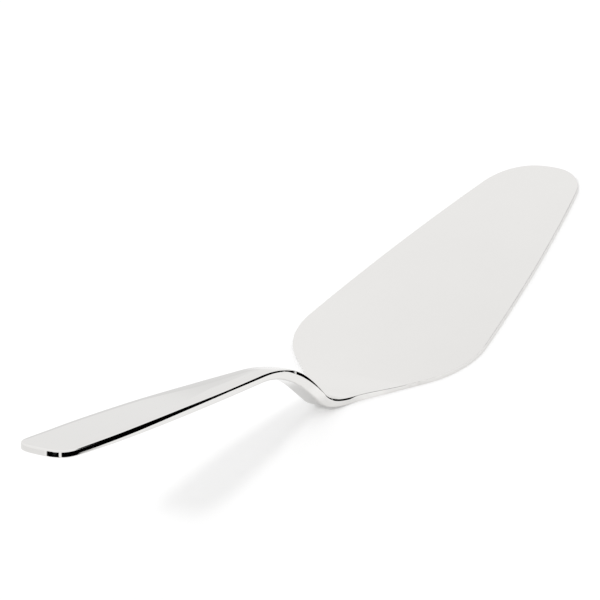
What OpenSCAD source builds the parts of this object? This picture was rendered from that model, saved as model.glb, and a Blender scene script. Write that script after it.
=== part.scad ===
// Cake server of polished steel: a flat kite-shaped blade, and a slim bar handle whose
// cranked neck fans out into a thin foot. The foot is butt-welded to the blade and ground flush.
//
// Units are millimetres. The blade's underside is the plane z = 0. The origin lies on that
// plane, on the centre line, where the blade is widest. +X runs to the tip, +Z is up.

/* [Blade] */
// Distance from the widest line forward to the tip
blade_front = 105.4; // [90:0.2:120]
// Full width at the widest line
blade_w = 63.8; // [58:0.2:70]
// Thickness of the blade's sheet
sheet_t = 1.5; // [1.2:0.1:2]
// Radius of the rounded shoulders at the widest line
shoulder_r = 26.3; // [22:0.1:28]
// Angle between the rear edges and the centre line
rear_angle = 47; // [42:1:54]
// Radius of the slightly bowed sides
side_r = 850; // [600:10:1200]
// Angle to the centre line at which a side leaves its shoulder
side_lead = 6.3; // [5:0.1:8]
// Length over which the tip is rounded
tip_len = 15; // [10:0.5:20]
// Squareness of the tip, where 2 is an ellipse
tip_power = 2.5; // [2:0.05:3]

/* [Neck] */
// Width of the neck
neck_w = 6.5; // [6:0.1:9]
// Thickness of the neck at its upper end, where it is thickest
neck_t = 4; // [3:0.1:4.6]
// Length of the neck's underside between the corners of its two bends
neck_len = 31; // [29:0.5:38]
// Slope of the neck
neck_slope = 56; // [50:1:60]
// Radius of the neck's upper bend, on the underside
bend_r = 45; // [32:1:47]
// Radius of the heel, where the neck turns into the blade, on the underside
heel_r = 14; // [10:0.5:15]
// Thickness where the heel ends on the flat foot
root_t = 2.3; // [1.8:0.1:2.8]
// Radius where the neck's sides flare into the rear edges
flare_r = 18; // [12:0.5:20]
// Distance from the corner of the rear edges back to the corner of the heel
heel_setback = 3.5; // [2.5:0.5:5]

/* [Handle] */
// Length of the handle's underside from the corner of the upper bend to the end
handle_len = 110.8; // [104:0.2:130]
// Slope of the handle
handle_slope = 21.6; // [16:0.1:27]
// Width of the grip at its widest
grip_w = 17.3; // [14:0.1:20]
// Length of the taper from the neck to the full width of the grip
taper_len = 97; // [80:1:98]
// Roundness of the taper, where 1 is a plain sine curve
taper_power = 1.3; // [1:0.05:1.6]
// Thickness of the handle at the neck's upper bend
bar_t = 2.4; // [2.1:0.1:3]
// Thickness of the handle at its end
end_t = 2; // [1.9:0.1:2.8]
// Length over which the handle's end is rounded
end_len = 7; // [4:0.5:10]
// Squareness of the handle's end, where 2 is an ellipse
end_power = 3; // [2:0.1:4]

/* [Weld seam] */
// Distance from the widest line back to the middle of the seam
seam_back = 22; // [20:0.5:25]
// Width of the seam
seam_w = 1.8; // [1:0.1:2.6]

/* [Edges] */
// Rounding of the edges of the blade, the foot and the neck
edge_r = 0.5; // [0.2:0.05:0.55]
// Rounding of the edges at the handle's end
grip_edge_r = 0.9; // [0.4:0.05:0.9]

/* [Hidden] */

// Steps along a bend or a shoulder, a side, a rounded end, the taper, and across one rounded edge
arc_steps = 14;
side_steps = 12;
end_steps = 14;
taper_steps = 26;
round_steps = 4;
// The largest share of the thickness that one rounded edge takes
round_share = 0.48;

// Blade outline: lateral place of the shoulder's centre, and where each stretch begins
shoulder_y = blade_w / 2 - shoulder_r;
shoulder_x0 = -shoulder_r * sin(rear_angle);
shoulder_x1 = shoulder_r * sin(side_lead);
side_x = (shoulder_r - side_r) * sin(side_lead);
side_y = shoulder_y + (shoulder_r - side_r) * cos(side_lead);
tip_x = blade_front - tip_len;
rear_rise = shoulder_y + shoulder_r * cos(rear_angle) - neck_w / 2;
rear_x = shoulder_x0 - rear_rise / tan(rear_angle);
flare_reach = flare_r * tan(rear_angle / 2);
flare_x0 = rear_x - flare_reach;
flare_x1 = rear_x + flare_reach * cos(rear_angle);
seam_x0 = -seam_back - seam_w / 2;
seam_x1 = -seam_back + seam_w / 2;

// Stations along the underside: x on the flat foot, and the length of the line behind it
bend_turn = neck_slope - handle_slope;
heel_reach = heel_r * tan(neck_slope / 2);
bend_reach = bend_r * tan(bend_turn / 2);
heel_s = rear_x - heel_setback + heel_reach;
neck_s = heel_s - heel_r * neck_slope * PI / 180;
bend_s = neck_s - (neck_len - heel_reach - bend_reach);
bar_s = bend_s - bend_r * bend_turn * PI / 180;
end_s = bar_s - (handle_len - bend_reach);
taper_s = (bend_s + bar_s) / 2;

// The underside's points where one stretch meets the next, and the centre of the upper bend
neck_foot = [heel_s - heel_r * sin(neck_slope), heel_r * (1 - cos(neck_slope))];
neck_top = neck_foot + (neck_s - bend_s) * up_along(neck_slope);
bend_mid = neck_top - bend_r * up_normal(neck_slope);
bar_foot = bend_mid + bend_r * up_normal(handle_slope);

// Directions in the side view of a line that falls towards the blade at an angle
function up_along(angle) = [-cos(angle), sin(angle)];
function up_normal(angle) = [sin(angle), cos(angle)];

// Smooth step from 0 to 1
function ease(u) = (1 - cos(180 * u)) / 2;

// Slope of the underside at a station
function slope(s) =
    s >= heel_s ? 0
    : s >= neck_s ? (heel_s - s) / heel_r * 180 / PI
    : s >= bend_s ? neck_slope
    : s >= bar_s ? neck_slope - (bend_s - s) / bend_r * 180 / PI
    : handle_slope;

// Point of the underside at a station, as [x, z]
function underside(s) =
    s >= heel_s ? [s, 0]
    : s >= neck_s ? [heel_s - heel_r * sin(slope(s)), heel_r * (1 - cos(slope(s)))]
    : s >= bend_s ? neck_foot + (neck_s - s) * up_along(neck_slope)
    : s >= bar_s ? bend_mid + bend_r * up_normal(slope(s))
    : bar_foot + (bar_s - s) * up_along(handle_slope);

// Thickness at a station
function thickness(s) =
    s >= seam_x0 ? sheet_t
    : s >= heel_s ? sheet_t + (root_t - sheet_t) * ease((seam_x0 - s) / (seam_x0 - heel_s))
    : s >= bend_s ? root_t + (neck_t - root_t) * ease((heel_s - s) / (heel_s - bend_s))
    : s >= bar_s ? bar_t + (neck_t - bar_t) * ease((s - bar_s) / (bend_s - bar_s))
    : bar_t + (end_t - bar_t) * (bar_s - s) / (bar_s - end_s);

// Radius of the rounded edges at a station, no more than its share of the thickness
function rounding(s) =
    let (along = max(0, (bar_s - s) / (bar_s - end_s)))
    min(edge_r + (grip_edge_r - edge_r) * along, thickness(s) * round_share);

// Half the width of the blade's outline at x, before the tip is rounded
function blade_half(x) =
    x < flare_x0 ? neck_w / 2
    : x < flare_x1 ? neck_w / 2 + flare_r - sqrt(pow(flare_r, 2) - pow(x - flare_x0, 2))
    : x < shoulder_x0 ? neck_w / 2 + (x - rear_x) * tan(rear_angle)
    : x < shoulder_x1 ? shoulder_y + sqrt(pow(shoulder_r, 2) - pow(x, 2))
    : side_y + sqrt(pow(side_r, 2) - pow(x - side_x, 2));

// Half the width of the handle behind the flare, before its end is rounded
function bar_half(s) =
    let (along = max(0, min(1, (taper_s - s) / taper_len)))
    neck_w / 2 + (grip_w - neck_w) / 2 * pow(sin(90 * along), taper_power);

// Share of the way to a rounded end, and share of the width there, on a superellipse
function end_along(angle, power) = pow(sin(angle), 2 / power);
function end_across(angle, power) = pow(cos(angle), 2 / power);

// Angles of the points on a rounded end. The last falls short of 90, so a narrow flat closes it.
end_angles = [for (i = [1 : end_steps]) 90 * i / (end_steps + 1 / 2)];

// Outline of each piece on the +Y side, as [station, half width] from its rear to its front
handle_outline = concat(
    [for (i = [end_steps - 1 : -1 : 0])
        let (s = end_s + end_len * (1 - end_along(end_angles[i], end_power)))
        [s, bar_half(s) * end_across(end_angles[i], end_power)]],
    [for (i = [0 : taper_steps])
        let (s = end_s + end_len + (bar_s - end_s - end_len) * i / taper_steps)
        [s, bar_half(s)]],
    [for (i = [1 : arc_steps])
        let (s = bar_s + (bend_s - bar_s) * i / arc_steps)
        [s, bar_half(s)]],
    [for (s = handle_front_stations()) [s, blade_half(s)]]
);
seam_outline = [for (x = [seam_x0, seam_x1]) [x, blade_half(x)]];
blade_outline = concat(
    [[seam_x1, blade_half(seam_x1)]],
    [for (i = [0 : arc_steps])
        let (x = shoulder_r * sin(-rear_angle + (rear_angle + side_lead) * i / arc_steps))
        [x, blade_half(x)]],
    [for (i = [1 : side_steps])
        let (x = shoulder_x1 + (tip_x - shoulder_x1) * i / side_steps)
        [x, blade_half(x)]],
    [for (angle = end_angles)
        let (x = tip_x + tip_len * end_along(angle, tip_power))
        [x, blade_half(x) * end_across(angle, tip_power)]]
);

// Stations from the neck's straight stretch to the seam, closer together on the heel and the flare
function handle_front_stations() =
    let (first = max(neck_s, flare_x0))
    concat(
        [for (i = [1 : arc_steps]) bend_s + (first - bend_s) * i / arc_steps],
        [for (i = [1 : arc_steps]) first + (flare_x1 - first) * i / arc_steps],
        [for (i = [1 : arc_steps]) flare_x1 + (seam_x0 - flare_x1) * i / arc_steps]
    );

// Outward direction of an outline at point i, for one unit of inset. A cut end slides along its
// cut, and a rounded end closes over the centre line.
function outward(outline, i, cut_rear, cut_front) =
    let (
        last = len(outline) - 1,
        before = i > 0 ? outline[i - 1] : cut_rear ? outline[0] : [outline[0][0], -outline[0][1]],
        after = i < last ? outline[i + 1] : cut_front ? outline[last] : [outline[last][0], -outline[last][1]],
        run = after - before
    )
    (i == 0 && cut_rear) || (i == last && cut_front) ? [0, norm(run) / run[0]] : [-run[1], run[0]] / norm(run);

// Point of the bent plate at a station, a lateral place and a height over the underside
function bent(s, y, height) =
    let (p = underside(s) + height * up_normal(slope(s)))
    [p[0], y, p[1]];

// One loop of points round the plate, at an angle of its rounded edge: 0 is the flat face and
// 90 the side face. It runs along the +Y side to the front and back along the other side.
function loop_points(outline, angle, top, cut_rear, cut_front) =
    let (
        one_side = [for (i = [0 : len(outline) - 1])
            let (
                s = outline[i][0],
                r = rounding(s),
                rise = r * (1 - cos(angle)),
                p = outline[i] - r * (1 - sin(angle)) * outward(outline, i, cut_rear, cut_front)
            )
            [p[0], p[1], top ? thickness(s) - rise : rise]]
    )
    concat(
        [for (p = one_side) bent(p[0], p[1], p[2])],
        [for (i = [len(one_side) - 1 : -1 : 0]) bent(one_side[i][0], -one_side[i][1], one_side[i][2])]
    );

// A plate with rounded edges that follows the underside's line
module plate(outline, cut_rear, cut_front) {
    count = len(outline);
    loop = 2 * count;
    layers = 2 * (round_steps + 1);
    angles = [for (i = [0 : round_steps]) 90 * i / round_steps];
    points = concat(
        [for (angle = angles) each loop_points(outline, angle, false, cut_rear, cut_front)],
        [for (i = [round_steps : -1 : 0]) each loop_points(outline, angles[i], true, cut_rear, cut_front)]
    );
    top = (layers - 1) * loop;
    faces = concat(
        [for (k = [0 : layers - 2], j = [0 : loop - 1])
            let (next = (j + 1) % loop)
            [k * loop + j, k * loop + next, (k + 1) * loop + next, (k + 1) * loop + j]],
        [for (i = [0 : count - 2]) [i, loop - 1 - i, loop - 2 - i, i + 1]],
        [for (i = [0 : count - 2]) [top + i, top + i + 1, top + loop - 2 - i, top + loop - 1 - i]]
    );
    polyhedron(points, faces);
}

// Grip, upper bend, neck, heel and the fan-shaped foot, forged in one piece
module handle() {
    color([0.86, 0.86, 0.85]) plate(handle_outline, false, true);
}

// The weld between the foot and the blade, through the whole thickness and ground flush
module weld_seam() {
    color([0.78, 0.78, 0.77]) plate(seam_outline, true, true);
}

// The flat blade, from the seam to the tip
module blade() {
    color([0.89, 0.89, 0.88]) plate(blade_outline, true, false);
}

handle();
weld_seam();
blade();
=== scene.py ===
"""Cake server of polished steel on a white studio floor.

Lengths are in metres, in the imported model's frame. The blade's underside is the plane z = 0,
the origin is on the centre line where the blade is widest, +X runs to the tip and +Z is up.
The handle, the weld line and the blade are one bent plate, cut at the weld's two faces: each
piece is the same surface over its own stretch of stations along the underside's line.
"""
import logging
import math
from collections.abc import Sequence
from dataclasses import dataclass
from enum import Enum
from functools import cached_property

import bpy
import numpy as np
from mathutils import Matrix, Vector


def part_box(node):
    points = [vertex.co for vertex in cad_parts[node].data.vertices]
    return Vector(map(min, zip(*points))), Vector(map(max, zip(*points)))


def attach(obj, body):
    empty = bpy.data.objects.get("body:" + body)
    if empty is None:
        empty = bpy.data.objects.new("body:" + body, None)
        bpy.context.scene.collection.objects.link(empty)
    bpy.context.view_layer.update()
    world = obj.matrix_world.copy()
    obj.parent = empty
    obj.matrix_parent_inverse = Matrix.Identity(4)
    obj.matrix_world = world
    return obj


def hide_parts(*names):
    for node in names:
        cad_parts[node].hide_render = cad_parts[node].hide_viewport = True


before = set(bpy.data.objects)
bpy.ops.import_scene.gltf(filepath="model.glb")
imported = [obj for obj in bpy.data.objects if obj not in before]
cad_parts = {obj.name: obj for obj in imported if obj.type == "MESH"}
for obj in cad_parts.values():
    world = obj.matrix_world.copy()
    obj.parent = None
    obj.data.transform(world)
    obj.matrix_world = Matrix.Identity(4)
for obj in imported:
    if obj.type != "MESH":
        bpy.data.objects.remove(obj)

log = logging.getLogger("cake_server")
MM = 0.001
NOISE_MIDDLE = 0.5
WHITE = (1, 1, 1, 1)
Array = np.ndarray


def smooth_step(share: Array) -> Array:
    """Half a cosine wave from 0 to 1 over shares from 0 to 1, level at both ends."""
    return (1 - np.cos(np.pi * np.clip(share, 0, 1))) / 2


def direction(azimuth: float, elevation: float) -> Vector:
    """Unit vector: cos and sin of the azimuth times cos of the elevation, and its sin as z."""
    cos = math.cos(elevation)
    return Vector((cos * math.cos(azimuth), cos * math.sin(azimuth), math.sin(elevation)))


class End(Enum):
    """How a piece ends: rounded over its centre line, or cut square against its neighbour."""

    ROUNDED = "rounded"
    CUT = "cut"


@dataclass(frozen=True)
class SideLine:
    """The underside's line in the side view, from the flat foot up to the handle's end.

    A station is x on the flat foot, and behind it the length of the line. Each bend is an arc,
    so the slope changes evenly from one straight stretch to the next.
    """

    heel_corner: float
    seam_x: float
    sheet_t: float
    heel_r: float = 14 * MM
    neck_len: float = 31 * MM
    neck_slope: float = math.radians(56)
    bend_r: float = 45 * MM
    handle_slope: float = math.radians(21.6)
    root_t: float = 2.3 * MM
    neck_t: float = 4 * MM
    bar_t: float = 2.62 * MM
    end_t: float = 1.96 * MM
    swell: float = 0.32 * MM

    @cached_property
    def heel_s(self) -> float:
        """Station where the heel ends on the flat foot."""
        return self.heel_corner + self.heel_r * math.tan(self.neck_slope / 2)

    @cached_property
    def neck_s(self) -> float:
        """Station where the neck leaves the heel."""
        return self.heel_s - self.heel_r * self.neck_slope

    @cached_property
    def bend_s(self) -> float:
        """Station where the upper bend begins, at the neck's top.

        The neck's length is between the corners that the arcs round. Each arc takes up its
        radius times the tangent of half its turn.

        Returns:
            The station.
        """
        heel_part = self.heel_r * math.tan(self.neck_slope / 2)
        bend_part = self.bend_r * math.tan(self.bend_turn / 2)
        return self.neck_s - (self.neck_len - (heel_part + bend_part))

    @cached_property
    def bar_s(self) -> float:
        """Station where the straight handle begins."""
        return self.bend_s - self.bend_r * self.bend_turn

    @cached_property
    def bend_turn(self) -> float:
        """Angle through which the upper bend turns."""
        return self.neck_slope - self.handle_slope

    def slope(self, s: Array) -> Array:
        """Slope of the underside: an even change over each bend, constant elsewhere."""
        stations = [self.bar_s, self.bend_s, self.neck_s, self.heel_s]
        return np.interp(s, stations, [self.handle_slope, self.neck_slope, self.neck_slope, 0])

    def along(self, s: Array) -> Array:
        """Unit vectors along the line towards the tip: (cos, 0, -sin) of the slope."""
        angle = self.slope(s)
        return np.stack([np.cos(angle), np.zeros_like(angle), -np.sin(angle)], axis=-1)

    def up(self, s: Array) -> Array:
        """Unit vectors square to the line, away from the floor: (sin, 0, cos) of the slope."""
        angle = self.slope(s)
        return np.stack([np.sin(angle), np.zeros_like(angle), np.cos(angle)], axis=-1)

    def point(self, s: Array) -> Array:
        """Points of the underside's centre line.

        The flat foot is (s, 0, 0). Either bend is an arc, its middle plus or minus its radius
        times the upward direction. A straight stretch is its lower end plus a length of line.

        Args:
            s: Stations.

        Returns:
            One point for each station, in the last axis.
        """
        up = self.up(s)
        heel_mid = np.array([self.heel_s, 0, self.heel_r])
        heel = heel_mid - self.heel_r * up
        neck_foot = heel_mid - self.heel_r * self.up(np.array(self.neck_s))
        neck_line = self.along(np.array(self.bend_s))
        neck = neck_foot + (s - self.neck_s)[..., None] * neck_line
        neck_top = neck_foot + (self.bend_s - self.neck_s) * neck_line
        bend_mid = neck_top - self.bend_r * self.up(np.array(self.bend_s))
        bend = bend_mid + self.bend_r * up
        bar_foot = bend_mid + self.bend_r * self.up(np.array(self.bar_s))
        bar = bar_foot + (s - self.bar_s)[..., None] * self.along(np.array(self.bar_s))
        fronts = [self.heel_s, self.neck_s, self.bend_s, self.bar_s]
        line = np.stack([s, np.zeros_like(s), np.zeros_like(s)], axis=-1)
        for front, stretch in zip(fronts, [heel, neck, bend, bar]):
            line = np.where((s < front)[..., None], stretch, line)
        return line

    def end_station(self, end_x: float, edge: float) -> float:
        """Station of the handle's end, so that its lowest x is end_x.

        The rounded lower edge stays back from its corner by its radius times (cos + sin - 1)
        of the slope.

        Args:
            end_x: Lowest x of the handle.
            edge: Radius of the lower edge at the end.

        Returns:
            The station of the unrounded end.
        """
        cos, sin = math.cos(self.handle_slope), math.sin(self.handle_slope)
        corner = end_x - edge * (cos + sin - 1)
        bar_x = float(self.point(np.array(self.bar_s))[0])
        return self.bar_s - (bar_x - corner) / cos

    def thickness(self, s: Array, end_s: float) -> Array:
        """Thickness: a taper on the handle, and smooth steps from stretch to stretch.

        On the handle half a sine wave, as high as the swell, is added to the even taper.

        Args:
            s: Stations.
            end_s: Station of the handle's end.

        Returns:
            The thickness at each station.
        """
        stations = np.array([end_s, self.bar_s, self.bend_s, self.heel_s, self.seam_x])
        values = np.array([self.end_t, self.bar_t, self.neck_t, self.root_t, self.sheet_t])
        stretch = np.clip(np.searchsorted(stations, s, side="right") - 1, 0, len(stations) - 2)
        share = np.clip((s - stations[stretch]) / np.diff(stations)[stretch], 0, 1)
        swell = np.where(stretch > 0, 0, self.swell * np.sin(np.pi * share))
        share = np.where(stretch > 0, smooth_step(share), share)
        return values[stretch] + np.diff(values)[stretch] * share + swell


@dataclass(frozen=True)
class PlanOutline:
    """Half the width of the plate over its stations, seen square to its face."""

    front_x: float
    blade_w: float
    shoulder_r: float = 26.3 * MM
    rear_angle: float = math.radians(47)
    side_r: float = 850 * MM
    side_lead: float = math.radians(6.3)
    tip_len: float = 15 * MM
    tip_power: float = 2.5
    neck_w: float = 6.5 * MM
    flare_r: float = 18 * MM
    grip_w: float = 18.4 * MM
    taper_len: float = 97 * MM
    taper_power: float = 1.03
    grip_drop: float = 0.9 * MM
    drop_from: float = 82 * MM
    drop_len: float = 28 * MM
    end_len: float = 7 * MM
    end_power: float = 3
    end_flat: float = 0.35

    @cached_property
    def shoulder_y(self) -> float:
        """Lateral place of the shoulder's centre."""
        return self.blade_w / 2 - self.shoulder_r

    @cached_property
    def shoulder_back(self) -> float:
        """Where the shoulder's arc meets the straight rear edge."""
        return -self.shoulder_r * math.sin(self.rear_angle)

    @cached_property
    def shoulder_front(self) -> float:
        """Where the shoulder's arc meets the bowed side."""
        return self.shoulder_r * math.sin(self.side_lead)

    @cached_property
    def rear_corner(self) -> float:
        """Where the line of the rear edge reaches the neck's side."""
        rise = self.shoulder_y + self.shoulder_r * math.cos(self.rear_angle) - self.neck_w / 2
        return self.shoulder_back - rise / math.tan(self.rear_angle)

    @cached_property
    def flare_back(self) -> float:
        """Where the neck's side begins to flare."""
        return self.rear_corner - self.flare_r * math.tan(self.rear_angle / 2)

    @cached_property
    def flare_front(self) -> float:
        """Where the flare meets the straight rear edge."""
        return self.flare_back + self.flare_r * math.sin(self.rear_angle)

    @cached_property
    def tip_x(self) -> float:
        """Where the tip begins to round."""
        return self.front_x - self.tip_len

    def blade_half(self, x: Array) -> Array:
        """Half the width on the foot and the blade, before the tip is rounded.

        From the rear it is the neck's side, the flare's arc, the straight rear edge, the
        shoulder's arc and the bowed side's arc.

        Args:
            x: Stations.

        Returns:
            Half the width at each station.
        """
        half_neck = self.neck_w / 2
        flare_drop = np.clip(x - self.flare_back, 0, self.flare_r)
        flare = half_neck + self.flare_r - np.sqrt(self.flare_r**2 - flare_drop**2)
        rear = half_neck + (x - self.rear_corner) * math.tan(self.rear_angle)
        shoulder = self.shoulder_y + np.sqrt(np.maximum(self.shoulder_r**2 - x**2, 0))
        middle_reach = self.shoulder_r - self.side_r
        middle_x = middle_reach * math.sin(self.side_lead)
        middle_y = self.shoulder_y + middle_reach * math.cos(self.side_lead)
        side = middle_y + np.sqrt(self.side_r**2 - (x - middle_x) ** 2)
        fronts = [self.flare_back, self.flare_front, self.shoulder_back, self.shoulder_front]
        stretches = [np.full_like(x, half_neck), flare, rear, shoulder]
        return np.select([x < front for front in fronts], stretches, side)

    def bar_half(self, s: Array, taper_s: float) -> Array:
        """Half the width behind the flare: the neck's, plus a quarter sine wave to a power.

        Towards the handle's end it drops again, with the square of the length past drop_from.

        Args:
            s: Stations.
            taper_s: Station where the taper leaves the neck.

        Returns:
            Half the width at each station.
        """
        share = np.clip((taper_s - s) / self.taper_len, 0, 1)
        drop = self.grip_drop * (np.maximum(taper_s - s - self.drop_from, 0) / self.drop_len) ** 2
        widening = (self.grip_w - self.neck_w) / 2 * np.sin(np.pi / 2 * share) ** self.taper_power
        return self.neck_w / 2 + widening - drop

    def rounded_end(self, steps: int, power: float) -> tuple[Array, Array]:
        """A quarter of a superellipse, as shares of its length and of its width.

        The share of the length is the sine of an even angle to the power 2 / power, and the
        share of the width is the same of the cosine. The last angle falls short of a quarter
        turn by the flat's share of a step, so that a narrow flat closes the end.

        Args:
            steps: Points on the quarter.
            power: Squareness, where 2 is an ellipse.

        Returns:
            Shares of the length and of the width.
        """
        angle = np.pi / 2 * np.arange(1, steps + 1) / (steps + self.end_flat)
        return np.sin(angle) ** (2 / power), np.cos(angle) ** (2 / power)


@dataclass(frozen=True)
class TopEdge:
    """Section of the top edge, from the face out: a low crown, an arc, a bevel and a small arc.

    The crown's width, the radii of the roll and the corner, the bevel's length and its lean
    from the face are arrays over the stations. The crown is an arc that ends at the fall. The
    corner ends a hair past the lean, as a share of its arc, which keeps it apart from the roll.
    """

    crown: Array
    fall: float
    roll: Array
    bevel: Array
    corner: Array
    lean: Array
    hair: float = 0.001

    def angles(self, steps: int) -> Array:
        """Angles from the side face up to the flat face, for each station.

        Args:
            steps: Levels on each of the three arcs.

        Returns:
            Angles between the face's normal and the surface's, (3 steps, stations).
        """
        side = self.lean + (np.pi / 2 - self.lean) * np.linspace(1, self.hair, steps)[:, None]
        roll = self.fall + (self.lean - self.fall) * np.linspace(1, 0, steps)[:, None]
        crown = self.fall * np.linspace(1 - 1 / steps, 0, steps)[:, None] * np.ones_like(self.lean)
        return np.concatenate([side, roll, crown])

    def section(self, angle: Array) -> tuple[Array, Array]:
        """How far in from the side, and how deep under the face, the edge is at each angle.

        Each arc adds its radius times the difference of the sines of its angles to the width,
        and of their cosines to the depth. The bevel adds its length times the cosine of the
        lean to the width, and times the sine to the depth.

        Args:
            angle: Angles between the face's normal and the surface's, (levels, stations).

        Returns:
            Insets and depths, each (levels, stations).
        """
        low = np.minimum(angle, self.fall)
        middle = np.clip(angle, self.fall, self.lean)
        high = np.maximum(angle, self.lean)
        bevel = np.where(angle > self.lean, self.bevel, 0)
        crown_r = self.crown / math.sin(self.fall)
        lean_sin, lean_cos = np.sin(self.lean), np.cos(self.lean)
        across = crown_r * np.sin(low) + self.roll * (np.sin(middle) - math.sin(self.fall))
        across = across + bevel * lean_cos + self.corner * (np.sin(high) - lean_sin)
        down = crown_r * (1 - np.cos(low)) + self.roll * (math.cos(self.fall) - np.cos(middle))
        down = down + bevel * lean_sin + self.corner * (lean_cos - np.cos(high))
        width = self.crown + self.roll * (lean_sin - math.sin(self.fall))
        width = width + self.bevel * lean_cos + self.corner * (1 - lean_sin)
        return width - across, down


@dataclass(frozen=True)
class EdgeFinish:
    """How the edges were ground.

    The top's crown is widest on the waist, behind the straight bar's front end. The bevel is
    wide along the grip, narrow towards the upper bend, wide again where the neck turns down,
    and narrow on the foot. It stands almost upright at the handle's end and leans along the
    bar. The blade's edges are plain small arcs.
    """

    fall: float = math.radians(7)
    crown: float = 1.7 * MM
    waist_crown: float = 4 * MM
    bar_crown: float = 3.4 * MM
    blade_crown: float = 0.06 * MM
    waist_from: float = 44 * MM
    waist_mid: float = 22 * MM
    waist_to: float = 2 * MM
    roll: float = 0.84 * MM
    end_roll: float = 0.35 * MM
    neck_roll: float = 0.2 * MM
    heel_roll: float = 0.2 * MM
    corner: float = 0.08 * MM
    lean: float = math.radians(66)
    end_lean: float = math.radians(88.8)
    neck_lean: float = math.radians(62)
    heel_lean: float = math.radians(77)
    rear_lean: float = math.radians(74)
    heel_turn: float = 4.5 * MM
    heel_turn_past: float = 1.125 * MM
    end_hold: float = 2.5 * MM
    end_fade: float = 15 * MM
    grip_bevel: float = 0.77 * MM
    grip_len: float = 31 * MM
    grip_fade: float = 46 * MM
    bar_bevel: float = 0.16 * MM
    waist_bevel: float = 0.27 * MM
    bend_bevel: float = 0.2 * MM
    neck_bevel: float = 0.92 * MM
    neck_foot_bevel: float = 0.2024 * MM
    crest_len: float = 9 * MM
    crest_lead: float = 3.25 * MM
    crest_fade: float = 6.5 * MM
    heel_bevel: float = 0.55 * MM
    rear_bevel: float = 0.09 * MM
    rear_turn: float = 1.8 * MM
    blade_bevel: float = 0.02 * MM
    blade_fade: float = 26 * MM
    under: float = 0.45 * MM
    end_under: float = 0.35 * MM
    blade_arc: float = 0.14 * MM

    def top(self, s: Array, line: SideLine, end_s: float) -> TopEdge:
        """The top edge at each station, with every size changing evenly between knots.

        The knots run from the handle's end over the bar, the crest of the upper bend, the
        neck and the foot.

        Args:
            s: Stations.
            line: The underside's line.
            end_s: Station of the handle's end.

        Returns:
            The edge's section at the stations.
        """
        grip_s = end_s + self.grip_len
        crest_s = line.bend_s - self.crest_len
        heel_mid = (line.neck_s + line.heel_s) / 2
        turn_s = heel_mid + self.heel_turn_past
        end = [end_s + self.end_hold, end_s + self.end_fade]
        bar = [grip_s, grip_s + self.grip_fade, line.bar_s, crest_s - self.crest_lead]
        neck = [crest_s, crest_s + self.crest_fade, line.neck_s]
        foot = [heel_mid, line.heel_s - self.rear_turn, line.heel_s]
        waist = [line.bar_s - back for back in (self.waist_from, self.waist_mid, self.waist_to)]
        crowns = [self.crown, self.waist_crown, self.bar_crown, self.crown, self.blade_crown]
        bevels = [self.grip_bevel, self.bar_bevel, self.waist_bevel, self.bend_bevel]
        bevels += [self.neck_bevel, self.neck_bevel, self.neck_foot_bevel]
        bevels += [self.heel_bevel, self.heel_bevel, self.rear_bevel, self.blade_bevel]
        rolls = [self.end_roll] + [self.roll] * 5 + [self.neck_roll] * 2
        rolls += [self.heel_roll] * 3 + [self.blade_arc]
        leans = [self.end_lean, self.lean, self.lean, self.neck_lean]
        leans += [self.heel_lean, self.rear_lean]
        lean_knots = end + [line.neck_s, turn_s - self.heel_turn, turn_s, line.heel_s]
        return TopEdge(
            crown=np.interp(s, waist + [line.bend_s, line.neck_s], crowns),
            fall=self.fall,
            roll=np.interp(s, end + bar + neck + foot, rolls),
            bevel=np.interp(s, bar + neck + foot + [line.seam_x + self.blade_fade], bevels),
            corner=np.interp(s, [line.heel_s, line.seam_x], [self.corner, self.blade_arc]),
            lean=np.interp(s, lean_knots, leans),
        )

    def under_radius(self, s: Array, line: SideLine, end_s: float) -> Array:
        """Radius of the under edge, which is one plain arc.

        Args:
            s: Stations.
            line: The underside's line.
            end_s: Station of the handle's end.

        Returns:
            The radius at each station.
        """
        knots = [end_s, end_s + self.end_fade, line.neck_s, line.seam_x]
        return np.interp(s, knots, [self.end_under, self.under, self.under, self.blade_arc])


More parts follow.
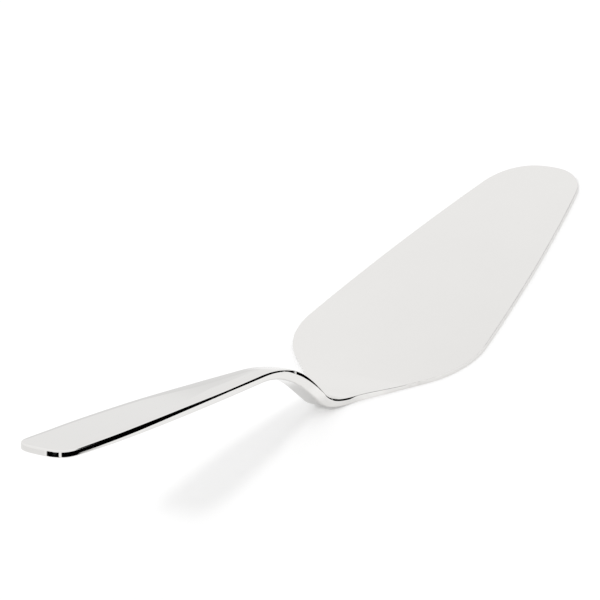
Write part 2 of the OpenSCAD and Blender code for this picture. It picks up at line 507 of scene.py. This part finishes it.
@dataclass(frozen=True)
class BentPlate:
    """A plate with rounded edges that follows the side line, cut or rounded at its ends."""

    line: SideLine
    edges: EdgeFinish
    end_s: float
    stations: Array
    halves: Array
    rear: End
    front: End
    steps: int = 7

    def outward(self) -> Array:
        """Unit vectors (station, lateral) square to the outline, per unit of inset.

        Each is the outline's direction turned by a quarter, from differences along its own
        length. Beyond a rounded end the outline goes on with its mirror image. At a cut end
        the point slides along the cut.

        Returns:
            One vector for each outline point.
        """
        s = np.concatenate([self.stations[:1], self.stations, self.stations[-1:]])
        y = np.concatenate([-self.halves[:1], self.halves, -self.halves[-1:]])
        reach = np.concatenate([[0], np.cumsum(np.hypot(np.diff(s), np.diff(y)))])
        if self.rear is End.CUT:
            s, y, reach = s[1:], y[1:], reach[1:]
        if self.front is End.CUT:
            s, y, reach = s[:-1], y[:-1], reach[:-1]
        run = np.stack([np.gradient(s, reach), np.gradient(y, reach)], axis=-1)
        run /= np.linalg.norm(run, axis=-1, keepdims=True)
        square = np.stack([-run[:, 1], run[:, 0]], axis=-1)
        if self.rear is End.ROUNDED:
            square = square[1:]
        else:
            square[0] = [0, 1 / run[0, 0]]
        if self.front is End.ROUNDED:
            square = square[:-1]
        else:
            square[-1] = [0, 1 / run[-1, 0]]
        return square

    def grid(self) -> tuple[Array, Array, Array]:
        """Points, normals and plate coordinates on a grid of levels and outline points.

        A level is an angle between the face's normal and the edge's, from 0 on the underside
        through 90 degrees on the side face and back to 0 on the top. The outline is inset and
        lifted off the face as the edge's section says, and the normal is the face's times cos
        plus the outline's times sin. The loop runs along the +Y side to the front and back
        along the other side. Plate coordinates are the station and the lateral place.

        Returns:
            Points and normals, each (levels, loop, 3), and plate coordinates (levels, loop, 2).
        """
        square = self.outward()
        edge = self.edges.top(self.stations, self.line, self.end_s)
        under_angle = np.linspace(0, np.pi / 2, self.steps)[:, None] * np.ones_like(self.stations)
        angle = np.concatenate([under_angle, edge.angles(self.steps)])
        top = (np.arange(len(angle)) >= self.steps)[:, None]
        under_radius = self.edges.under_radius(self.stations, self.line, self.end_s)
        top_inset, top_deep = edge.section(angle)
        inset = np.where(top, top_inset, under_radius * (1 - np.sin(angle)))
        off = np.where(top, top_deep, under_radius * (1 - np.cos(angle)))
        thickness = self.line.thickness(self.stations, self.end_s)
        s = self.stations - inset * square[:, 0]
        y = self.halves - inset * square[:, 1]
        height = np.where(top, thickness - off, off)
        along, up = self.line.along(s), self.line.up(s)
        points = self.line.point(s) + height[..., None] * up + y[..., None] * [0, 1, 0]
        rise = np.gradient(thickness, self.stations)
        face = np.where(top[..., None], up - rise[:, None] * along, -up)
        side = square[:, :1] * along + square[:, 1:] * np.array([0.0, 1, 0])
        normals = face * np.cos(angle)[..., None] + side * np.sin(angle)[..., None]
        normals /= np.linalg.norm(normals, axis=-1, keepdims=True)
        mirror = np.array([1, -1, 1])
        plate = np.stack([s, y], axis=-1)
        return (
            np.concatenate([points, (points * mirror)[:, ::-1]], axis=1),
            np.concatenate([normals, (normals * mirror)[:, ::-1]], axis=1),
            np.concatenate([plate, (plate * [1, -1])[:, ::-1]], axis=1),
        )

    def quads(self, levels: int, loop: int) -> Array:
        """Corner indices of every face, counter-clockwise seen from outside.

        Faces join each level to the next all round the loop, and strips across the plate
        close the underside and the top.

        Args:
            levels: Levels of the grid.
            loop: Points in one level.

        Returns:
            Four indices for each face.
        """
        low, j = np.meshgrid(np.arange(levels - 1) * loop, np.arange(loop), indexing="ij")
        next_j = (j + 1) % loop
        high = low + loop
        wall = np.stack([low + j, high + j, high + next_j, low + next_j], axis=-1)
        i = np.arange(loop // 2 - 1)
        under = np.stack([i, i + 1, loop - 2 - i, loop - 1 - i], axis=-1)
        over = (levels - 1) * loop + under[:, ::-1]
        return np.concatenate([wall.reshape(-1, 4), under, over])

    def mesh(self, name: str) -> bpy.types.Mesh:
        """The closed mesh, with exact normals, sharp cut faces and plate coordinates as UV.

        A cut face lies between the two columns of the loop that meet at a cut end, so it is
        flat, and each of its edges is sharp.

        Args:
            name: Name of the mesh.

        Returns:
            The new mesh.
        """
        points, normals, plate = self.grid()
        levels, loop = points.shape[:2]
        quads = self.quads(levels, loop)
        mesh = bpy.data.meshes.new(name)
        mesh.from_pydata(points.reshape(-1, 3).tolist(), [], quads.tolist())
        mesh.polygons.foreach_set("use_smooth", np.ones(len(quads), bool))
        half = loop // 2
        cut = np.zeros(loop, int)
        if self.front is End.CUT:
            cut[[half - 1, half]] = 1
        if self.rear is End.CUT:
            cut[[0, -1]] = 2
        vertex_cut = np.tile(cut, levels)
        caps = self.same_cut(vertex_cut[quads])
        pairs = np.empty(len(mesh.edges) * 2, int)
        mesh.edges.foreach_get("vertices", pairs)
        sharp = self.same_cut(vertex_cut[pairs.reshape(-1, 2)])
        mesh.attributes.new("sharp_edge", "BOOLEAN", "EDGE").data.foreach_set("value", sharp)
        corner_normals = normals.reshape(-1, 3)[quads]
        flat = np.empty(len(quads) * 3, float)
        mesh.polygons.foreach_get("normal", flat)
        corner_normals[caps] = flat.reshape(-1, 1, 3)[caps]
        mesh.normals_split_custom_set(corner_normals.reshape(-1, 3).tolist())
        layer = mesh.uv_layers.new(name="plate")
        layer.uv.foreach_set("vector", plate.reshape(-1, 2)[quads].astype(np.float32).ravel())
        return mesh

    @staticmethod
    def same_cut(cuts: Array) -> Array:
        """Whether all the vertices in a row are on the same cut end, where 0 is on neither."""
        return (cuts > 0).all(axis=1) & (cuts == cuts[:, :1]).all(axis=1)


class Wire:
    """A shader socket that takes part in Python expressions. Each operator adds a Math node."""

    def __init__(self, board: "NodeBoard", socket: bpy.types.NodeSocket) -> None:
        """Wraps one output socket of a node on the board."""
        self.board = board
        self.socket = socket

    def __add__(self, other: "Wire | float") -> "Wire":
        """The sum."""
        return self.board.math("ADD", self, other)

    def __sub__(self, other: "Wire | float") -> "Wire":
        """The difference."""
        return self.board.math("SUBTRACT", self, other)

    def __rsub__(self, other: float) -> "Wire":
        """The difference from a number."""
        return self.board.math("SUBTRACT", other, self)

    def __mul__(self, other: "Wire | float") -> "Wire":
        """The product."""
        return self.board.math("MULTIPLY", self, other)

    __radd__ = __add__
    __rmul__ = __mul__


Inputs = dict[str | int, Wire | float | Sequence[float]]


class NodeBoard:
    """Adds nodes to one node tree, and wires them up."""

    def __init__(self, tree: bpy.types.NodeTree) -> None:
        """Clears the tree."""
        self.tree = tree
        tree.nodes.clear()

    def add(self, kind: str, settings: dict[str, object], inputs: Inputs) -> bpy.types.Node:
        """Adds one node.

        Args:
            kind: The node's type.
            settings: The node's own settings, set before its sockets.
            inputs: A value or a wire for each input socket, by name or by number.

        Returns:
            The new node.
        """
        node = self.tree.nodes.new(kind)
        for key, value in settings.items():
            setattr(node, key, value)
        for key, value in inputs.items():
            if isinstance(value, Wire):
                self.tree.links.new(value.socket, node.inputs[key])
            else:
                node.inputs[key].default_value = value
        return node

    def wire(self, node: bpy.types.Node, output: str | int = 0) -> Wire:
        """One output of a node as a wire."""
        return Wire(self, node.outputs[output])

    def math(self, operation: str, *values: Wire | float) -> Wire:
        """The result of one Math node."""
        return self.wire(self.add("ShaderNodeMath", {"operation": operation}, dict(enumerate(values))))

    def ramp(self, value: Wire, low: float, high: float) -> Wire:
        """A smooth step from 0 at low to 1 at high.

        Args:
            value: What is compared.
            low: Where the step begins.
            high: Where the step ends.

        Returns:
            The share from 0 to 1.
        """
        inputs = {"Value": value, "From Min": low, "From Max": high}
        return self.wire(self.add("ShaderNodeMapRange", {"interpolation_type": "SMOOTHSTEP"}, inputs))

    def band(self, value: Wire, low: float, high: float, soft: float) -> Wire:
        """1 between low and high, and 0 outside, with edges as wide as soft.

        Args:
            value: What is compared.
            low: Middle of the lower edge.
            high: Middle of the upper edge.
            soft: Width of each edge.

        Returns:
            The share from 0 to 1.
        """
        rise = self.ramp(value, low - soft / 2, low + soft / 2)
        fall = self.ramp(value, high - soft / 2, high + soft / 2)
        return rise * (1 - fall)

    def noise(self, vector: Wire, scale: float, detail: float) -> Wire:
        """Fractal noise about its middle.

        Args:
            vector: Where the noise is read.
            scale: Waves per metre.
            detail: Octaves.

        Returns:
            The noise from 0 to 1.
        """
        inputs = {"Vector": vector, "Scale": scale, "Detail": detail}
        return self.wire(self.add("ShaderNodeTexNoise", {}, inputs), "Fac")


@dataclass(frozen=True)
class PolishedSteel:
    """Bright stainless steel, buffed along the piece, with a faint haze and fine hairlines.

    The haze, its hairlines and its grain are added to the roughness. The clouds and the grain
    are given in waves per metre.
    """

    name: str
    colour: tuple[float, float, float] = (0.815, 0.805, 0.79)
    tone: float = 0.012
    roughness: float = 0.025
    haze: float = 0.015
    hairline_haze: float = 0.0075
    grain_haze: float = 0.004
    clouds: float = 45
    grain: float = 700
    octaves: float = 3
    grain_octaves: float = 2
    hairline: float = 0.3 * MM
    hairline_len: float = 14 * MM
    hairline_depth: float = 0.05 * MM
    hairline_bump: float = 0.02

    def material(self) -> bpy.types.Material:
        """The finish as a material.

        The base colour varies by the tone over the clouds, and the roughness by the hazes.
        The hairlines are noise read on plate coordinates in lengths and widths of a hairline.

        Returns:
            The new material.
        """
        material = bpy.data.materials.new(self.name)
        material.use_nodes = True
        board = NodeBoard(material.node_tree)
        coordinates = board.add("ShaderNodeTexCoord", {}, {})
        place = board.wire(coordinates, "Object")
        plate = board.add("ShaderNodeUVMap", {"uv_map": "plate"}, {})
        squeeze = (1 / self.hairline_len, 1 / self.hairline, 1)
        lines = board.add("ShaderNodeMapping", {}, {"Vector": board.wire(plate), "Scale": squeeze})
        hairlines = board.noise(board.wire(lines), 1, self.octaves)
        cloud = board.noise(place, self.clouds, self.octaves)
        grain = board.noise(place, self.grain, self.grain_octaves)
        dark = tuple(channel * (1 - self.tone) for channel in self.colour) + (1,)
        bright = tuple(channel * (1 + self.tone) for channel in self.colour) + (1,)
        tones = {"Factor": cloud, 6: dark, 7: bright}
        mixed = board.add("ShaderNodeMix", {"data_type": "RGBA"}, tones)
        rough = self.roughness + self.haze * cloud
        rough = rough + self.hairline_haze * (hairlines - NOISE_MIDDLE) + self.grain_haze * grain
        height = {"Height": hairlines, "Distance": self.hairline_depth, "Strength": self.hairline_bump}
        bump = board.add("ShaderNodeBump", {}, height)
        steel = board.add(
            "ShaderNodeBsdfPrincipled",
            {},
            {
                "Base Color": board.wire(mixed, 2),
                "Metallic": 1.0,
                "Roughness": rough,
                "Normal": board.wire(bump),
            },
        )
        board.add("ShaderNodeOutputMaterial", {}, {"Surface": board.wire(steel)})
        return material


@dataclass(frozen=True)
class Piece:
    """One piece of the cake server: a stretch of the bent plate that stands for a CAD node."""

    node: str
    name: str
    slot: str
    plate: BentPlate
    finish: PolishedSteel

    def build(self) -> None:
        """Makes the piece, dresses it and sets it in the frame."""
        piece = bpy.data.objects.new(self.name, self.plate.mesh(self.name))
        bpy.context.scene.collection.objects.link(piece)
        piece.data.materials.append(self.finish.material())
        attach(piece, "root")
        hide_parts(self.node)
        log.info("%s: %d faces", self.name, len(piece.data.polygons))


@dataclass(frozen=True)
class CakeServer:
    """The whole server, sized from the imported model's boxes."""

    blade_lo: Vector
    blade_hi: Vector
    seam_lo: Vector
    seam_hi: Vector
    handle_lo: Vector
    heel_setback: float = 3.5 * MM
    end_points: int = 22
    handle_points: tuple[int, ...] = (70, 26, 16, 40, 14)
    weld_points: int = 5
    shoulder_points: int = 56
    side_points: int = 40
    tip_points: int = 40

    @classmethod
    def from_frame(cls) -> "CakeServer":
        """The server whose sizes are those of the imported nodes.

        Returns:
            The server.
        """
        blade_lo, blade_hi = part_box("blade")
        seam_lo, seam_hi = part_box("weld_seam")
        handle_lo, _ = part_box("handle")
        return cls(blade_lo, blade_hi, seam_lo, seam_hi, handle_lo)

    @cached_property
    def outline(self) -> PlanOutline:
        """The plan of the server."""
        return PlanOutline(front_x=self.blade_hi.x, blade_w=self.blade_hi.y - self.blade_lo.y)

    @cached_property
    def line(self) -> SideLine:
        """The side view of the server's underside."""
        return SideLine(
            heel_corner=self.outline.rear_corner - self.heel_setback,
            seam_x=self.seam_lo.x,
            sheet_t=self.blade_hi.z,
        )

    @cached_property
    def edges(self) -> EdgeFinish:
        """The server's rounded edges."""
        return EdgeFinish()

    @cached_property
    def end_s(self) -> float:
        """Station of the handle's end."""
        return self.line.end_station(self.handle_lo.x, self.edges.end_under)

    def plate(self, s: Array, halves: Array, rear: End, front: End) -> BentPlate:
        """A stretch of the server's plate.

        Args:
            s: Stations of the outline points.
            halves: Half widths there.
            rear: The rear end.
            front: The front end.

        Returns:
            The plate.
        """
        return BentPlate(self.line, self.edges, self.end_s, s, halves, rear, front)

    def handle(self) -> BentPlate:
        """Grip, upper bend, neck, heel and the fan-shaped foot.

        The taper leaves the neck's width halfway round the upper bend. The stations are even
        on each stretch, and those of the rounded end are a superellipse's.

        Returns:
            The plate.
        """
        outline, line = self.outline, self.line
        taper_s = (line.bend_s + line.bar_s) / 2
        along, across = outline.rounded_end(self.end_points, outline.end_power)
        end = self.end_s + outline.end_len * (1 - along[::-1])
        knots = [self.end_s + outline.end_len, line.bar_s, line.bend_s, line.neck_s]
        knots += [outline.flare_front, line.seam_x]
        spans = zip(knots, knots[1:], self.handle_points)
        stretches = [np.linspace(rear, front, count, endpoint=False) for rear, front, count in spans]
        body = np.concatenate(stretches + [np.array(knots[-1:])])
        narrow = np.where(body < line.bend_s, outline.bar_half(body, taper_s), outline.blade_half(body))
        halves = np.concatenate([outline.bar_half(end, taper_s) * across[::-1], narrow])
        return self.plate(np.concatenate([end, body]), halves, End.ROUNDED, End.CUT)

    def weld(self) -> BentPlate:
        """The weld, ground flush with the foot and the blade."""
        s = np.linspace(self.seam_lo.x, self.seam_hi.x, self.weld_points)
        return self.plate(s, self.outline.blade_half(s), End.CUT, End.CUT)

    def blade(self) -> BentPlate:
        """The flat blade, from the weld to the tip.

        Even angles give the shoulder's stations, even lengths the side's, and a superellipse
        those of the tip, where its shares also narrow the half width.

        Returns:
            The plate.
        """
        outline = self.outline
        turn = np.linspace(-outline.rear_angle, outline.side_lead, self.shoulder_points)
        shoulder = outline.shoulder_r * np.sin(turn)
        side = np.linspace(outline.shoulder_front, outline.tip_x, self.side_points)[1:]
        along, across = outline.rounded_end(self.tip_points, outline.tip_power)
        tip = outline.tip_x + outline.tip_len * along
        s = np.concatenate([[self.seam_hi.x], shoulder, side, tip])
        halves = outline.blade_half(s)
        halves[-len(across):] *= across
        return self.plate(s, halves, End.CUT, End.ROUNDED)

    def pieces(self) -> list[Piece]:
        """The three pieces, from the handle to the tip.

        Returns:
            The pieces.
        """
        return [
            Piece("handle", "handle_bar", "handle_steel", self.handle(), PolishedSteel("handle steel")),
            Piece("weld_seam", "weld_line", "weld_steel", self.weld(), PolishedSteel("weld steel")),
            Piece("blade", "blade_sheet", "blade_steel", self.blade(), PolishedSteel("blade steel")),
        ]


@dataclass(frozen=True)
class Card:
    """A card in the studio that only reflections show.

    Its bounds are directions from the server, and soft is the width of its edges, all in
    degrees. Its level is how bright it is, where 1 is white.
    """

    azimuth: tuple[float, float]
    elevation: tuple[float, float]
    level: float
    soft: float = 4

    def share(self, board: NodeBoard, azimuth: Wire, elevation: Wire) -> Wire:
        """The card's share in a direction: its band of azimuth times its band of elevation."""
        across = board.band(azimuth, *self.azimuth, self.soft)
        return across * board.band(elevation, *self.elevation, self.soft)


@dataclass(frozen=True)
class Patch:
    """An ellipse on the floor with a soft rim, whose half width is a share of the radii."""

    middle: tuple[float, float]
    radii: tuple[float, float]
    rim: float

    def share(self, board: NodeBoard, place: Wire) -> Wire:
        """1 within the ellipse and 0 outside, with a smooth step over the rim.

        What is compared is the length of the place's offset from the middle, divided by the
        radii.

        Args:
            board: Where the nodes go.
            place: Object coordinates.

        Returns:
            The share from 0 to 1.
        """
        offset = {0: place, 1: (*self.middle, 0)}
        shift = board.add("ShaderNodeVectorMath", {"operation": "SUBTRACT"}, offset)
        squeeze = {0: board.wire(shift), 1: (*self.radii, 1)}
        unit = board.add("ShaderNodeVectorMath", {"operation": "DIVIDE"}, squeeze)
        reach = board.add("ShaderNodeVectorMath", {"operation": "LENGTH"}, {0: board.wire(unit)})
        return 1 - board.ramp(board.wire(reach, "Value"), 1 - self.rim, 1 + self.rim)


@dataclass(frozen=True)
class Studio:
    """White floor, soft key light, and the white room with dark cards that the steel mirrors.

    The floor is paper with a little light of its own, the lift, which makes it white to the
    camera. Reflections show it only in the blade's and the neck's mirror patches. There the
    glow patch is brighter by its lift, and the heel's and the blade's shades are darker.

    Black cards stand on the -Y side and behind the handle, where they run past half a turn so
    that no edge falls between them. Pale grey cards stand on the +Y side and beyond the tip,
    white ones cut these off low down, and a faint one hangs high beyond the tip.
    """

    room: float = 1.0
    ambient: float = 0.85
    key: float = 0.15
    key_azimuth: float = math.radians(193)
    key_elevation: float = math.radians(45.9)
    key_spread: float = math.radians(5.5)
    floor_r: float = 600 * MM
    floor_points: int = 96
    floor_colour: float = 0.9
    floor_lift: float = 0.12
    camera_lift: float = 0.04
    glow_lift: float = 0.1
    heel_shade: float = 0.14
    blade_shade: float = 0.02
    blade_mirror: Patch = Patch((47 * MM, 0), (85 * MM, 33 * MM), 0.1)
    neck_mirror: Patch = Patch((-48 * MM, 0), (88 * MM, 88 * MM), 0.1)
    glow_patch: Patch = Patch((-31.5 * MM, -11.7 * MM), (4.5 * MM, 4.5 * MM), 0.4)
    heel_patch: Patch = Patch((-50 * MM, 0), (16 * MM, 16 * MM), 0.8)
    blade_patch: Patch = Patch((47 * MM, 0), (75 * MM, 75 * MM), 0.15)
    cards: tuple[Card, ...] = (
        Card((-36, -6), (-31, 24), 0),
        Card((-144, -30), (-31, 6), 0),
        Card((155, 173), (-31, 28), 0),
        Card((155, 190), (-31, 9.5), 0),
        Card((-190, -158), (-31, 9.5), 0),
        Card((60, 150), (-31, 8), 0.91),
        Card((20, 50), (-12, 8), 0.92),
        Card((33, 50), (-31, -3.1), 0.8, 1.8),
        Card((20, 60), (-60, -16.5), 1.0, 6),
        Card((20, 35), (-60, -9.5), 1.0, 3),
        Card((0, 36), (30.8, 60), 0.96, 5),
    )

    def build(self) -> None:
        """Makes the room, the key light and the floor."""
        self.build_room()
        self.build_key()
        self.build_floor()
        bpy.context.scene.view_settings.view_transform = "Standard"

    def build_room(self) -> None:
        """The world: white to the camera, even to the floor, and the cards to reflections.

        What reflections show starts as the room, and each card in turn mixes in its level by
        its share.
        """
        world = bpy.data.worlds.new("studio room")
        world.use_nodes = True
        bpy.context.scene.world = world
        board = NodeBoard(world.node_tree)
        coordinates = board.add("ShaderNodeTexCoord", {}, {})
        axes = board.add("ShaderNodeSeparateXYZ", {}, {0: board.wire(coordinates, "Generated")})
        x, y, z = (board.wire(axes, name) for name in "XYZ")
        azimuth = board.math("DEGREES", board.math("ARCTAN2", y, x))
        elevation = board.math("DEGREES", board.math("ARCSINE", z))
        mirrored: Wire | float = self.room
        for card in self.cards:
            mirrored = mirrored + card.share(board, azimuth, elevation) * (card.level - mirrored)
        rays = board.add("ShaderNodeLightPath", {}, {})
        camera, glossy = board.wire(rays, "Is Camera Ray"), board.wire(rays, "Is Glossy Ray")
        light = camera + (1 - camera) * (glossy * mirrored + (1 - glossy) * self.ambient)
        background = board.add("ShaderNodeBackground", {}, {"Color": WHITE, "Strength": light})
        board.add("ShaderNodeOutputWorld", {}, {"Surface": board.wire(background)})

    def build_key(self) -> None:
        """The soft key light, behind the handle and hidden from reflections.

        Its strength is the key times pi over the sine of its elevation, so that on a white
        floor it gives the key's share of white.
        """
        lamp = bpy.data.lights.new("key", "SUN")
        lamp.energy = self.key * math.pi / math.sin(self.key_elevation)
        lamp.angle = self.key_spread
        key = bpy.data.objects.new("key", lamp)
        towards = direction(self.key_azimuth, self.key_elevation)
        key.matrix_world = towards.to_track_quat("Z", "Y").to_matrix().to_4x4()
        key.visible_glossy = False
        bpy.context.scene.collection.objects.link(key)

    def build_floor(self) -> None:
        """A white disc that keeps the server's shadow."""
        angle = np.linspace(0, 2 * np.pi, self.floor_points, endpoint=False)
        rim = self.floor_r * np.stack([np.cos(angle), np.sin(angle), np.zeros_like(angle)], axis=-1)
        mesh = bpy.data.meshes.new("floor")
        mesh.from_pydata(rim.tolist(), [], [list(range(len(rim)))])
        floor = bpy.data.objects.new("floor", mesh)
        bpy.context.scene.collection.objects.link(floor)
        mesh.materials.append(self.floor_material())

    def floor_material(self) -> bpy.types.Material:
        """White paper with the lift, and clear to reflections outside the mirror patches.

        The lift's strength is the floor's, plus the camera's for what the camera sees, and
        for reflections plus the glow and less the two shades, each times its patch.

        Returns:
            The new material.
        """
        material = bpy.data.materials.new("floor paper")
        material.use_nodes = True
        board = NodeBoard(material.node_tree)
        white = (self.floor_colour,) * 3 + (1,)
        paper = board.add("ShaderNodeBsdfDiffuse", {}, {"Color": white})
        rays = board.add("ShaderNodeLightPath", {}, {})
        camera, glossy = board.wire(rays, "Is Camera Ray"), board.wire(rays, "Is Glossy Ray")
        place = board.wire(board.add("ShaderNodeTexCoord", {}, {}), "Object")
        glow = self.glow_lift * self.glow_patch.share(board, place)
        shade = self.heel_shade * self.heel_patch.share(board, place)
        shade = shade + self.blade_shade * self.blade_patch.share(board, place)
        strength = self.floor_lift + self.camera_lift * camera + glossy * (glow - shade)
        lift = board.add("ShaderNodeEmission", {}, {"Strength": strength})
        lit = board.add("ShaderNodeAddShader", {}, {0: board.wire(paper), 1: board.wire(lift)})
        clear = board.add("ShaderNodeBsdfTransparent", {}, {})
        patches = (self.blade_mirror.share(board, place), self.neck_mirror.share(board, place))
        unseen = glossy * (1 - board.math("MAXIMUM", *patches))
        sides = {0: unseen, 1: board.wire(lit), 2: board.wire(clear)}
        shown = board.add("ShaderNodeMixShader", {}, sides)
        board.add("ShaderNodeOutputMaterial", {}, {"Surface": board.wire(shown)})
        return material


@dataclass(frozen=True)
class Camera:
    """The photograph's camera, by the point it is aimed at and its turns about that point."""

    aim: tuple[float, float, float] = (-25.4 * MM, 12.5 * MM, 27.3 * MM)
    distance: float = 0.8397
    azimuth: float = math.radians(38.007)
    elevation: float = math.radians(30.616)
    roll: float = math.radians(-12)
    lens: float = 168.3

    def build(self) -> None:
        """Makes the scene's camera.

        It stands the distance behind the aim, looks down along the azimuth at the elevation,
        and is rolled about that direction.
        """
        camera = bpy.data.objects.new("photograph camera", bpy.data.cameras.new("photograph camera"))
        camera.data.lens = self.lens
        ahead = direction(self.azimuth, -self.elevation)
        level = ahead.to_track_quat("-Z", "Y").to_matrix().to_4x4()
        place = Matrix.Translation(Vector(self.aim) - self.distance * ahead)
        camera.matrix_world = place @ level @ Matrix.Rotation(self.roll, 4, "Z")
        bpy.context.scene.collection.objects.link(camera)
        bpy.context.scene.camera = camera


def main() -> None:
    """Builds the server, the studio and the camera."""
    logging.basicConfig(level=logging.INFO, format="%(name)s: %(message)s")
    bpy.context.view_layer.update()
    for piece in CakeServer.from_frame().pieces():
        piece.build()
    Studio().build()
    Camera().build()


if __name__ == "__main__":
    main()
